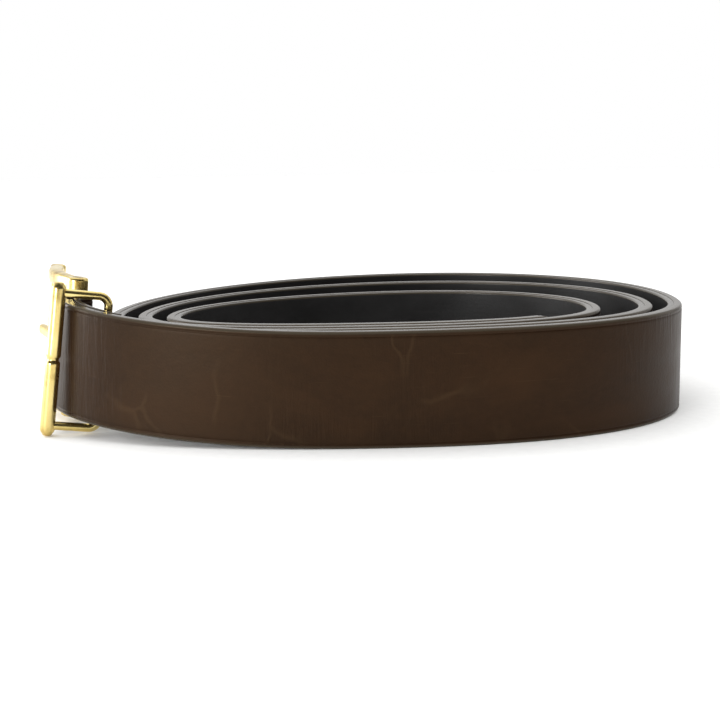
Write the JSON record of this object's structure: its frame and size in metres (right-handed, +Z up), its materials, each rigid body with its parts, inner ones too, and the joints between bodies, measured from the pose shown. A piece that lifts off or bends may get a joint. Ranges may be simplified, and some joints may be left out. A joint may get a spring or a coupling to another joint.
{
  "type": "leather belt",
  "caption": "Brown leather dress belt with a black lining, standing on its edge in a loose coil, with a brass prong buckle and metal keeper.",
  "frame": {"origin": "on the surface that the belt stands on, under the middle of its bounding box", "axes": "+Z up across the strap's width, +X to the right along the coil's straight front, +Y from that front to the back of the coil"},
  "size_m": [0.1916, 0.1396, 0.0424],
  "materials": {
    "grain_leather": "dark brown vegetable-tanned grain leather, waxed, with glossy black-brown edge paint",
    "lining_leather": "smooth black lining leather, satin",
    "thread": "waxed dark brown thread",
    "brass": "polished solid brass"
  },
  "bodies": {
    "root": {"strap_face": "grain_leather", "strap_lining": "lining_leather", "fold_stitching": "thread"},
    "buckle": {"buckle_frame": "brass", "heel_bar": "brass"},
    "prong": {"prong": "brass"},
    "keeper": {"keeper_bar": "brass", "keeper_wire": "brass"}
  },
  "joints": [
    {"name": "buckle_hinge", "type": "hinge", "parent": "root", "child": "buckle", "pos_m": [-0.07834, -0.03076, 0.0213], "axis": [0.1045, 0, 0.9945], "range_deg": [-38, 65]},
    {"name": "prong_hinge", "type": "hinge", "parent": "buckle", "child": "prong", "pos_m": [-0.07834, -0.03076, 0.0213], "axis": [0.1045, 0, 0.9945], "range_deg": [0, 40]},
    {"name": "keeper_slide", "type": "slide", "parent": "root", "child": "keeper", "axis": [-0.7157, 0.6984, 0], "range_m": [-0.001, 0.002]}
  ]
}
